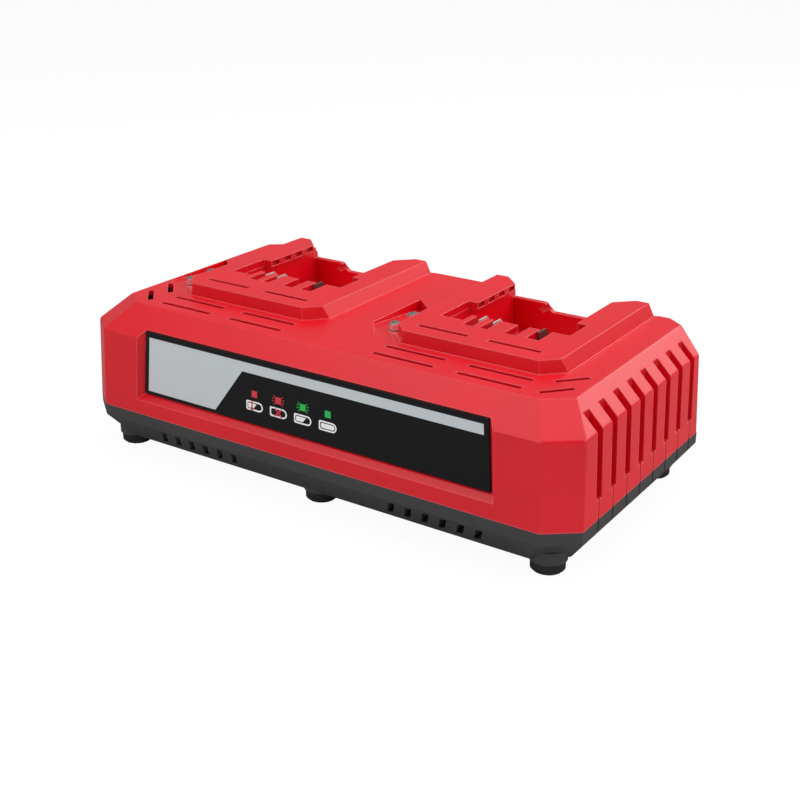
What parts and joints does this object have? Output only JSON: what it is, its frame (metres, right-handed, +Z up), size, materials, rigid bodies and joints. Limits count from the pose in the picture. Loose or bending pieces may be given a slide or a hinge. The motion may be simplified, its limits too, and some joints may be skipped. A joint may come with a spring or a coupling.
{
  "type": "dual-port power tool battery charger",
  "caption": "Low chamfered mains charger with slide-in battery docks side by side on its deck, slotted vents, status light pipes and a sloping front panel.",
  "frame": {"origin": "on the table under the centre of the body", "axes": "+X to the user's right along the body, +Y to the back where the packs slide in, +Z up"},
  "size_m": [0.27, 0.141, 0.0799],
  "materials": {
    "red_shell": "moulded red ABS, fine satin texture",
    "dark_shell": "moulded dark grey ABS",
    "panel": "printed polycarbonate label, black and light grey",
    "rubber_foot": "soft black rubber",
    "contact_metal": "nickel plated blade",
    "clear_lens": "clear polycarbonate light pipe",
    "board": "glass-fibre circuit board",
    "black_plastic": "black moulded plastic",
    "steel": "zinc plated steel",
    "aluminium": "extruded aluminium",
    "copper": "enamelled copper wire",
    "ferrite": "ferrite",
    "can_sleeve": "printed sleeve, bare of text",
    "cap_box": "cast plastic box",
    "wire": "insulated wire",
    "clear_glass": "glass fuse tube"
  },
  "bodies": {
    "root": {"base_housing": "dark_shell", "bridge_rectifier": "black_plastic", "cord_inlet": "rubber_foot", "dock_board_screws": "steel", "foot_front_left": "rubber_foot", "foot_front_middle": "rubber_foot", "foot_front_right": "rubber_foot", "foot_rear_left": "rubber_foot", "foot_rear_middle": "rubber_foot", "foot_rear_right": "rubber_foot", "fuse": "clear_glass", "fuse_clips": "contact_metal", "housing_screws": "steel", "indicator_panel": "panel", "left_battery_tray": "red_shell", "left_charging_light_pipe": "clear_lens", "left_dock_board": "board", "left_dock_leads": "wire", "left_negative_blade": "contact_metal", "left_positive_blade": "contact_metal", "left_ready_light_pipe": "clear_lens", "left_sensor_blade": "contact_metal", "left_status_lamps": "clear_lens", "left_terminal_block": "black_plastic", "main_board": "board", "main_board_screws": "steel", "mains_capacitor": "can_sleeve", "mains_choke": "copper", "mains_choke_seat": "black_plastic", "output_capacitors": "can_sleeve", "output_diodes": "black_plastic", "output_heat_sink": "aluminium", "primary_heat_sink": "aluminium", "right_battery_tray": "red_shell", "right_charging_light_pipe": "clear_lens", "right_dock_board": "board", "right_dock_leads": "wire", "right_negative_blade": "contact_metal", "right_positive_blade": "contact_metal", "right_ready_light_pipe": "clear_lens", "right_sensor_blade": "contact_metal", "right_status_lamps": "clear_lens", "right_terminal_block": "black_plastic", "suppression_capacitor": "cap_box", "switching_transistor": "black_plastic", "top_housing": "red_shell", "transformer_core": "ferrite", "transformer_winding": "copper"}
  },
  "joints": []
}
